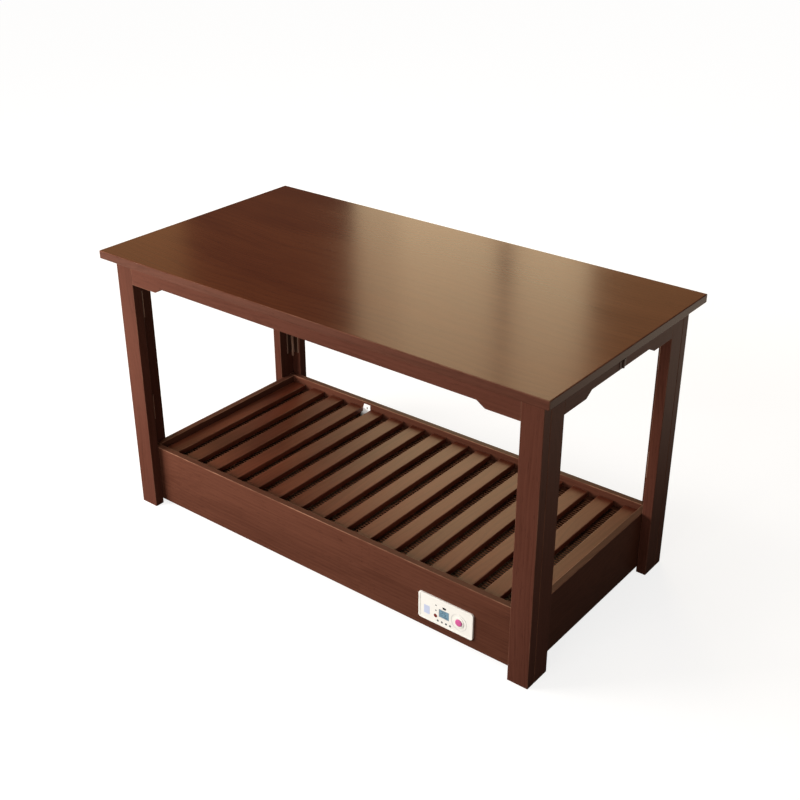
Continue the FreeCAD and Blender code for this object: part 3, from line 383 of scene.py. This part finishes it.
def brushed(name, base, roughness, along, metallic=1.0):
    """Rolled or drawn metal with fine lines along one axis."""
    tree = Tree(name)
    parts = tree.split(tree.place())
    scaled = [tree.math("MULTIPLY", part, 8.0 if axis == along else 900.0) for axis, part in zip("xyz", parts)]
    line = tree.noise(tree.join(*scaled), 1.0, 2.0, 0.5)
    stain = tree.noise(tree.place(), 9.0, 4.0, 0.6)
    shade = tree.mix(tree.ramp(stain, 0.35, 0.8, 0.0, 0.35), tuple(base), tuple(part * 0.6 for part in base))
    tree.set(Base_Color=shade, Roughness=tree.math("MULTIPLY_ADD", line, 0.22, roughness - 0.11),
             Metallic=metallic)
    tree.bump(line, 0.15, 0.00005)
    return tree.material


def dress(node, material):
    """The finish on a CAD node."""
    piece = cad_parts[node]
    piece.data.materials.clear()
    piece.data.materials.append(material)
    return piece


def flat_print(name, outline, y, thick, material, body="heater_box"):
    """A thin print or film on the control panel: an outline in x and z, with a small depth behind it."""
    count = len(outline)
    spots = [(x, y, z) for x, z in outline] + [(x, y + thick, z) for x, z in outline]
    faces = [list(range(count)), [count + index for index in reversed(range(count))]]
    faces += [[index, count + index, count + (index + 1) % count, (index + 1) % count] for index in range(count)]
    mesh = bpy.data.meshes.new(name)
    mesh.from_pydata(spots, [], faces)
    mesh.validate()
    piece = bpy.data.objects.new(name, mesh)
    bpy.context.scene.collection.objects.link(piece)
    mesh.materials.append(material)
    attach(piece, body)
    return piece


def rounded_outline(middle, width, height, radius, steps=6):
    """Corner-rounded rectangle in x and z, in order round its edge."""
    points = []
    for corner, (side, up) in enumerate(((1, -1), (1, 1), (-1, 1), (-1, -1))):
        for step in range(steps + 1):
            turn = math.radians(-90 + 90 * corner + 90 * step / steps)
            points.append((middle[0] + side * (width / 2 - radius) + radius * math.cos(turn),
                           middle[1] + up * (height / 2 - radius) + radius * math.sin(turn)))
    return points


def woven_net(name, low, high, pitches, widths, notch, material):
    """Flat wires both ways between two corners, the cross wires lying under the long ones.

    The notch is cut into the far edge: its left end, its right end and where it starts.
    """
    spots, faces = [], []

    def bar(start, stop):
        if min(end - begin for begin, end in zip(start, stop)) <= 0:
            return
        left, right = max(start[0], notch[0]), min(stop[0], notch[1])
        if left < right and stop[1] > notch[2]:
            bar(start, (left, *stop[1:]))
            bar((right, *start[1:]), stop)
            bar((left, *start[1:]), (right, notch[2], stop[2]))
            return
        first = len(spots)
        for z in (start[2], stop[2]):
            for x, y in ((start[0], start[1]), (stop[0], start[1]), (stop[0], stop[1]), (start[0], stop[1])):
                spots.append((x, y, z))
        for corners in ((3, 2, 1, 0), (4, 5, 6, 7), (0, 1, 5, 4), (1, 2, 6, 5), (2, 3, 7, 6), (3, 0, 4, 7)):
            faces.append([first + corner for corner in corners])

    middle = (low.z + high.z) / 2
    for axis, (pitch, wire) in enumerate(zip(pitches, widths)):
        spaces = round((high[1 - axis] - low[1 - axis] - wire) / pitch)
        for step in range(spaces + 1):
            place = low[1 - axis] + (high[1 - axis] - low[1 - axis] - wire) * step / spaces
            start, stop = list(low), list(high)
            start[1 - axis], stop[1 - axis] = place, place + wire
            start[2], stop[2] = (middle, high.z) if axis == 0 else (low.z, middle)
            bar(start, stop)
    mesh = bpy.data.meshes.new(name)
    mesh.from_pydata(spots, [], faces)
    mesh.materials.append(material)
    piece = bpy.data.objects.new(name, mesh)
    bpy.context.scene.collection.objects.link(piece)
    return piece


def middle_of(node):
    low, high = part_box(node)
    return (low + high) / 2


class TopOperator(bpy.types.Operator):
    """Finish the tabletop and the battens under it"""
    bl_idname = "heated_table.top"
    bl_label = "Tabletop"

    def execute(self, context):
        looks = context.scene.table_wood
        stained_wood("tabletop", "x", tuple(looks.top_dark), tuple(looks.top_light), looks.top_gloss,
                     looks.top_shine, 1.0, (-0.21, 0.24), wear_and_highlight=0.5, relief=0.01,
                     sides=(tuple(looks.frame_dark), tuple(looks.frame_light)))
        stained_wood("top_battens", "y", tuple(looks.frame_dark), tuple(looks.inner), 0.6,
                     looks.frame_shine, 2.0, (0.05, 0.1), wear_and_highlight=0.3)
        return {"FINISHED"}


class LegsOperator(bpy.types.Operator):
    """Finish the four legs, each of a side board and an end board"""
    bl_idname = "heated_table.legs"
    bl_label = "Legs"

    def execute(self, context):
        looks = context.scene.table_wood
        seed = 3.0
        for kind in ("side", "end"):
            for row in ("front", "back"):
                for end in ("left", "right"):
                    stained_wood(f"{kind}_leg_board_{row}_{end}", "z", tuple(looks.frame_dark),
                                 tuple(looks.frame_light), looks.frame_gloss, looks.frame_shine, seed,
                                 (0.03 + seed * 0.004, 0.05), wear_and_highlight=0.5)
                    seed += 1.3
        return {"FINISHED"}


class ApronsOperator(bpy.types.Operator):
    """Finish the front, back and end aprons"""
    bl_idname = "heated_table.aprons"
    bl_label = "Aprons"

    def execute(self, context):
        looks = context.scene.table_wood
        seed = 21.0
        for node, grain in (("front_apron", "x"), ("back_apron", "x"), ("left_apron_front", "y"),
                            ("left_apron_back", "y"), ("right_apron_front", "y"), ("right_apron_back", "y")):
            stained_wood(node, grain, tuple(looks.frame_dark), tuple(looks.frame_light), looks.frame_gloss,
                         looks.frame_shine, seed, (0.04, 0.03 + seed * 0.001), wear_and_highlight=0.5)
            seed += 1.7
        return {"FINISHED"}


class HingesOperator(bpy.types.Operator):
    """Finish the corner hinges and the small hinges over the split aprons"""
    bl_idname = "heated_table.hinges"
    bl_label = "Hinges"

    def execute(self, context):
        looks = context.scene.table_heater
        for row in ("front", "back"):
            for end in ("left", "right"):
                node = f"corner_hinges_{row}_{end}"
                low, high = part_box(node)
                inner = [min(pair, key=abs) for pair in ((low.x, high.x), (low.y, high.y))]

                def leaf_part(tree, inner=inner):
                    """The flat of a leaf, between its edge and the barrel."""
                    gaps = [tree.math("ABSOLUTE", tree.math("SUBTRACT", along, start))
                            for along, start in zip(tree.split(tree.place()), inner)]
                    reach = tree.math("MINIMUM", *gaps)
                    return tree.math("MULTIPLY", tree.ramp(reach, looks.leaf_edge, looks.leaf_edge * 1.5),
                                     tree.ramp(reach, looks.barrel_start, looks.barrel_start * 0.97))

                # Bright barrels and leaf edges: rubbed bronze and a painted highlight; the flat of each leaf is
                # dark.
                dress(node, plain(f"{node}_lacquer", looks.hinge, 0.36, metallic=0.4, grain=0.5,
                                  relief=0.00008, other=looks.leaf, part=leaf_part))
        dress("mid_hinges", plain("mid_hinge_lacquer", looks.leaf, 0.45, relief=0.00008))
        return {"FINISHED"}


class BoxOperator(bpy.types.Operator):
    """Finish the heater box, its floor, ledges and feet"""
    bl_idname = "heated_table.box"
    bl_label = "Heater box"

    def execute(self, context):
        looks = context.scene.table_wood
        # The box panels' edges get more wear and painted highlight than the other boards.
        for seed, (node, grain) in enumerate((("front_panel", "x"), ("back_panel", "x"),
                                              ("left_panel", "y"), ("right_panel", "y"))):
            stained_wood(node, grain, tuple(looks.box_dark), tuple(looks.box_light), looks.frame_gloss,
                         looks.frame_shine, 31.0 + seed * 2.3, (0.012, -0.085), wear_and_highlight=1.5)
        for seed, (node, grain) in enumerate((("floor_board", "x"), ("front_ledge", "x"), ("back_ledge", "x"))):
            stained_wood(node, grain, tuple(looks.frame_dark), tuple(looks.inner), 0.7,
                         looks.frame_shine, 41.0 + seed, (0.03, 0.08), wear_and_highlight=0.2)
        rubber = plain("foot_rubber", context.scene.table_heater.rubber, 0.75, relief=0.0001)
        for row in ("front", "back"):
            for end in ("left", "right"):
                dress(f"box_foot_{row}_{end}", rubber)
        return {"FINISHED"}


class GrilleOperator(bpy.types.Operator):
    """Finish the slats of the foot grille, its two battens and the net under them"""
    bl_idname = "heated_table.grille"
    bl_label = "Foot grille"

    slat_count: IntProperty(name="Slats", description="Number of slats in the grille", default=16)
    slat_width: FloatProperty(name="Slat width", description="Width of one slat", default=0.046, unit="LENGTH")

    def execute(self, context):
        looks = context.scene.table_wood
        low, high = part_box("grille_slats")
        pitch = (high.x - low.x - self.slat_width) / (self.slat_count - 1)
        stained_wood("grille_slats", "y", tuple(looks.slat_dark), tuple(looks.slat_light), looks.slat_gloss,
                     looks.slat_shine, 51.0, (0.02, 0.045), repeat=("x", pitch, self.slat_width))
        for seed, row in enumerate(("front", "back")):
            stained_wood(f"grille_batten_{row}", "x", tuple(looks.slat_dark), tuple(looks.inner), 0.6,
                         looks.frame_shine, 61.0 + seed, (0.03, 0.05), wear_and_highlight=0.3)

        wires = context.scene.table_heater

        def gap_shade(tree):
            """Painted shade on the net, beside the slat at the left of each gap, which shades it."""
            across = tree.math("SUBTRACT", tree.split(tree.place())[0], low.x + self.slat_width)
            across = tree.math("FLOORED_MODULO", across, pitch)
            return tree.ramp(across, wires.shade_reach, wires.shade_reach * 0.6)

        lug_low, lug_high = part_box("cutout_lug")
        notch = (lug_low.x - wires.lug_room, lug_high.x + wires.lug_room,
                 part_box("guard_mesh")[1].y - wires.notch_depth)
        # The net's brown coat, with painted shade beside the slat at the left of each gap.
        coat = plain("net_coat", wires.net, 0.55, grain=0.3, other=wires.net_shade, part=gap_shade,
                     Specular_IOR_Level=0.1)
        net = woven_net("guard_net", *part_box("guard_mesh"), (wires.long_pitch, wires.cross_pitch),
                        (wires.long_wire, wires.cross_wire), notch, coat)
        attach(net, "grille")
        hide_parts("guard_mesh")
        return {"FINISHED"}


class HeaterOperator(bpy.types.Operator):
    """Finish the reflector, tubes, caps, holders, the board under them, the lug and the gland"""
    bl_idname = "heated_table.heater"
    bl_label = "Heater"

    def execute(self, context):
        looks = context.scene.table_heater
        # The reflector pan and insulation are dark to paint the shade inside the heater box.
        dress("reflector_pan", brushed("reflector_sheet", looks.reflector, 0.5, "x"))
        dress("insulation_board", plain("insulation_fibre", looks.insulation, 0.9, relief=0.0004, grain=0.4))
        quartz = plain("quartz_tube", looks.quartz, 0.45, Transmission_Weight=0.2, IOR=1.46,
                       Specular_IOR_Level=0.05)
        for row in ("front", "middle", "back"):
            dress(f"heating_tube_{row}", quartz)
        dress("ceramic_caps", plain("cap_glaze", looks.ceramic, 0.3, grain=0.3))
        # The holders share the reflector's dark colour, which paints the shade inside the box.
        folded = brushed("holder_steel", looks.reflector, 0.5, "y")
        for place in ("left", "middle", "right"):
            dress(f"tube_holder_{place}", folded)

        def dark_foot(tree):
            """The lug's foot: below a given height it takes the dark insulation colour."""
            return tree.ramp(tree.split(tree.place())[2], looks.dark_foot_top, looks.dark_foot_top - 0.004)

        def enamel_glow(tree):
            """Painted light: a glow in the white enamel that stands in for the light between the slats, fading
            towards its foot.
            """
            height = tree.split(tree.place())[2]
            return tree.ramp(height, looks.glow_start, looks.glow_full, 0.0, looks.lug_glow)

        # The enamel glows a little: painted light that keeps it white between the slats.
        enamel = plain("lug_enamel", looks.lug, 0.30, other=looks.insulation, part=dark_foot,
                       Emission_Color=(1.0, 0.97, 0.94), Emission_Strength=enamel_glow)
        dress("cutout_lug", enamel)
        dress("lug_screw", brushed("screw_steel", looks.steel, 0.3, "y"))
        dress("thermal_cutout", plain("cutout_case", (0.05, 0.05, 0.05), 0.4))
        dress("cable_inlet", plain("gland_nylon", (0.03, 0.03, 0.03), 0.45, relief=0.0001))
        return {"FINISHED"}


class PanelOperator(bpy.types.Operator):
    """Finish the control panel with its display, lamps, keys and push button"""
    bl_idname = "heated_table.controls"
    bl_label = "Control panel"

    def execute(self, context):
        looks = context.scene.table_panel
        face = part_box("display_window")[0].y - looks.display_recess
        hub = middle_of("power_button")

        def painted_step_ring(tree):
            """A thin grey circle about the push button: painted shade of a low step round it."""
            across, _, up = tree.split(tree.place())
            from_hub = tree.vector("SUBTRACT", tree.join(across, hub.y, up), tuple(hub))
            off = tree.math("SUBTRACT", tree.vector("LENGTH", from_hub), looks.step_radius)
            off = tree.math("ABSOLUTE", off)
            return tree.ramp(off, looks.step_width, looks.step_width / 2, 0.0, 0.35)

        # The plate, with the painted shade of a step round the push button.
        dress("control_housing", plain("plate_gloss", looks.plate, 0.24, grain=0.06, scale=60.0,
                                       other=looks.step_shade, part=painted_step_ring, Coat_Weight=0.3))
        dress("control_board", plain("solder_mask", context.scene.table_heater.circuit, 0.35))
        dress("display_window", plain("display_glass", looks.display, 0.08, Coat_Weight=0.6))
        dress("sensor_window", plain("sensor_smoke", (0.015, 0.016, 0.018), 0.1, Coat_Weight=0.5))
        dress("status_lamps", plain("lamp_smoke", (0.20, 0.21, 0.21), 0.2, Coat_Weight=0.4))
        dress("heating_lamp", plain("lamp_red", looks.red_lamp, 0.16, Coat_Weight=0.6))
        dress("power_button", plain("button_pink", looks.button, 0.26, Coat_Weight=0.35))
        keys = plain("key_grey", looks.key, 0.42)
        for count in range(1, 5):
            dress(f"key_{count}", keys)

        thick = looks.print_thick
        screen = middle_of("display_window")
        low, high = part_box("display_window")
        bezel = plain("bezel_grey", (0.30, 0.31, 0.31), 0.4)
        width, height = high.x - low.x, high.z - low.z
        bar = 0.0009
        for name, spot, across, up in (
                ("display_edge_top", (screen.x, high.z + bar / 2), width + 2 * bar, bar),
                ("display_edge_foot", (screen.x, low.z - bar / 2), width + 2 * bar, bar),
                ("display_edge_left", (low.x - bar / 2, screen.z), bar, height),
                ("display_edge_right", (high.x + bar / 2, screen.z), bar, height)):
            flat_print(name, rounded_outline(spot, across, up, bar * 0.3), face - thick, thick, bezel)
        segment = plain("display_segment", looks.segment, 0.3)
        glass = low.y - thick
        digit_segments(glass, screen, thick, segment)
        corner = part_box("control_housing")[0]
        square_middle = (corner.x + looks.square_inset, middle_of("control_housing").z - looks.square_drop)
        square = plain("square_blue", looks.square, 0.3)
        flat_print("pale_square", rounded_outline(square_middle, looks.square_width, looks.square_height, 0.002),
                   face - thick, thick, square)
        return {"FINISHED"}


DIGITS = {"2": "abged", "5": "afgcd", "0": "abcdef"}


def digit_segments(y, screen, thick, material):
    """Two seven-segment numbers and a level bar on the display."""
    tall, wide, bar, gap = 0.0105, 0.0056, 0.0011, 0.0002
    places = {
        "a": (0, tall / 2, wide, bar), "g": (0, 0, wide, bar), "d": (0, -tall / 2, wide, bar),
        "f": (-wide / 2, tall / 4, bar, tall / 2), "b": (wide / 2, tall / 4, bar, tall / 2),
        "e": (-wide / 2, -tall / 4, bar, tall / 2), "c": (wide / 2, -tall / 4, bar, tall / 2),
    }
    for count, (digit, across) in enumerate((("2", -0.0065), ("5", 0.0025))):
        for key in DIGITS[digit]:
            x, z, width, height = places[key]
            spot = (screen.x + across + x, screen.z + 0.0018 + z)
            flat_print(f"digit_{count}_{key}", rounded_outline(spot, width - gap, height - gap, bar * 0.3, 2),
                       y, thick, material)
    for step in range(6):
        spot = (screen.x - 0.0095 + step * 0.0035, screen.z - 0.0078)
        flat_print(f"level_{step}", rounded_outline(spot, 0.0024, 0.0010 + step * 0.0003, 0.0002, 2), y, thick,
                   material)


# Upright window lights behind the table: left and right edges in metres beside the line of sight, share of
# light and tint
WINDOWS = {
    "side_window": (-2.10, -1.22, 0.13, "amber_tint"),
    "wide_window_left": (-0.255, 0.00, 0.53, "window_tint"),
    "wide_window_right": (0.00, 0.57, 0.70, "window_tint"),
    "narrow_window": (0.64, 1.10, 0.74, "window_tint"),
    "amber_window": (1.10, 1.90, 0.14, "amber_tint"),
}


class StageOperator(bpy.types.Operator):
    """Build the floor, the lights, the world and the camera"""
    bl_idname = "heated_table.stage"
    bl_label = "Stage"

    def execute(self, context):
        scene = context.scene
        looks = scene.table_stage
        scene.view_settings.view_transform = "Standard"

        half = looks.floor_size / 2
        mesh = bpy.data.meshes.new("floor")
        mesh.from_pydata([(-half, -half, 0), (half, -half, 0), (half, half, 0), (-half, half, 0)], [],
                         [(0, 1, 2, 3)])
        floor = bpy.data.objects.new("floor", mesh)
        scene.collection.objects.link(floor)
        mesh.materials.append(floor_paint(looks))

        for front in (
                soft_light("front_left_light", (-2.15, -2.1, 0.95), (-0.4, 0.0, 0.45), 1.6, 1.3,
                           looks.key_power, (1.0, 0.96, 0.91)),
                soft_light("front_light", (0.5, -3.4, 2.0), (0.0, 0.0, 0.3), 1.6, 1.2,
                           looks.fill_power, (1.0, 0.97, 0.93)),
                soft_light("right_light", (2.5, -2.5, 1.1), (0.2, 0.0, 0.3), 1.4, 1.2,
                           looks.right_power, (1.0, 0.93, 0.85))):
            front.visible_glossy = False
        soft_light("overhead_light", (-0.4, -0.4, 3.4), (0.0, 0.0, 0.0), 2.6, 2.6, looks.top_power,
                   (1.0, 0.98, 0.95))
        ahead = Vector((-math.sin(looks.camera_turn[2]), math.cos(looks.camera_turn[2]), 0))
        beside = Vector((ahead.y, -ahead.x, 0))
        for name, (low, high, part, tint) in WINDOWS.items():
            spot = Vector(looks.camera_place) + ahead * looks.window_distance + beside * (low + high) / 2
            spot.z = looks.window_middle
            soft_light(name, spot, spot - ahead, high - low, looks.window_height,
                       looks.window_power * (high - low) * part, tuple(getattr(looks, tint)))

        world = bpy.data.worlds.new("studio")
        scene.world = world
        world.use_nodes = True
        nodes, links = world.node_tree.nodes, world.node_tree.links
        back = nodes["Background"]
        back.inputs["Color"].default_value = (*looks.world_tint, 1.0)
        back.inputs["Strength"].default_value = looks.world
        pale = nodes.new("ShaderNodeBackground")
        pale.inputs["Color"].default_value = (1.0, 1.0, 1.0, 1.0)
        pale.inputs["Strength"].default_value = looks.far_glow
        either = nodes.new("ShaderNodeMixShader")
        links.new(nodes.new("ShaderNodeLightPath").outputs["Is Camera Ray"], either.inputs["Fac"])
        links.new(back.outputs[0], either.inputs[1])
        links.new(pale.outputs[0], either.inputs[2])
        links.new(either.outputs[0], nodes["World Output"].inputs["Surface"])

        camera = bpy.data.cameras.new("camera")
        camera.sensor_width = 36.0
        camera.lens = looks.lens
        camera.clip_start = 0.05
        holder = bpy.data.objects.new("camera", camera)
        holder.location = looks.camera_place
        holder.rotation_euler = looks.camera_turn
        scene.collection.objects.link(holder)
        scene.camera = holder
        return {"FINISHED"}


def floor_paint(looks):
    """Pale to the camera, duller for the light that it throws back; in reflections it glows, with a painted shadow
    that darkens it near the table.
    """
    tree = Tree("floor_paint")
    path = tree.nodes.new("ShaderNodeLightPath").outputs
    seen = tree.math("MAXIMUM", path["Is Camera Ray"], path["Is Transmission Ray"])
    tint = tree.mix(seen, tuple(looks.floor_bounce), tuple(looks.floor))
    tree.set(Base_Color=tint, Roughness=0.9)
    tree.shader.inputs["Specular IOR Level"].default_value = 0.0
    away = tree.vector("LENGTH", tree.place())
    glow = tree.math("MULTIPLY", seen, tree.ramp(away, 1.2, 3.2, looks.floor_glow, looks.far_glow))
    # Painted shadow: reflections find the floor dark near the table, brighter far off.
    sheen = tree.ramp(away, 0.8, 2.2, looks.near_sheen, looks.far_sheen)
    glow = tree.math("MULTIPLY_ADD", path["Is Glossy Ray"], sheen, glow)
    glow_tint = tree.mix(path["Is Glossy Ray"], (1.0, 0.998, 0.995), tuple(looks.sheen_tint))
    tree.feed(tree.shader.inputs["Emission Color"], glow_tint)
    tree.feed(tree.shader.inputs["Emission Strength"], glow)
    return tree.material


def soft_light(name, spot, target, width, height, power, tint):
    """A rectangular soft light aimed at a point."""
    light = bpy.data.lights.new(name, "AREA")
    light.shape = "RECTANGLE"
    light.size = width
    light.size_y = height
    light.energy = power
    light.color = tint
    holder = bpy.data.objects.new(name, light)
    holder.location = spot
    holder.rotation_euler = (Vector(target) - Vector(spot)).to_track_quat("-Z", "Y").to_euler()
    bpy.context.scene.collection.objects.link(holder)
    return holder


OPERATORS = (TopOperator, LegsOperator, ApronsOperator, HingesOperator, BoxOperator, GrilleOperator,
             HeaterOperator, PanelOperator, StageOperator)


class TablePanel(bpy.types.Panel):
    """Pieces and looks of the heated table"""
    bl_idname = "VIEW3D_PT_heated_table"
    bl_label = "Heated table"
    bl_space_type = "VIEW_3D"
    bl_region_type = "UI"
    bl_category = "Table"

    def draw(self, context):
        for operator in OPERATORS:
            self.layout.operator(operator.bl_idname)
        for name in GROUPS:
            box = self.layout.box()
            looks = getattr(context.scene, name)
            for key in looks.bl_rna.properties.keys():
                if key not in ("rna_type", "name"):
                    box.prop(looks, key)


def register():
    for group in GROUPS.values():
        bpy.utils.register_class(group)
    for name, group in GROUPS.items():
        setattr(bpy.types.Scene, name, PointerProperty(type=group))
    for operator in OPERATORS:
        bpy.utils.register_class(operator)
    bpy.utils.register_class(TablePanel)


def unregister():
    bpy.utils.unregister_class(TablePanel)
    for operator in reversed(OPERATORS):
        bpy.utils.unregister_class(operator)
    for name in GROUPS:
        delattr(bpy.types.Scene, name)
    for group in reversed(GROUPS.values()):
        bpy.utils.unregister_class(group)


def main():
    register()
    bpy.ops.heated_table.top()
    bpy.ops.heated_table.legs()
    bpy.ops.heated_table.aprons()
    bpy.ops.heated_table.hinges()
    bpy.ops.heated_table.box()
    bpy.ops.heated_table.grille()
    bpy.ops.heated_table.heater()
    bpy.ops.heated_table.controls()
    bpy.ops.heated_table.stage()


if __name__ == "__main__":
    main()
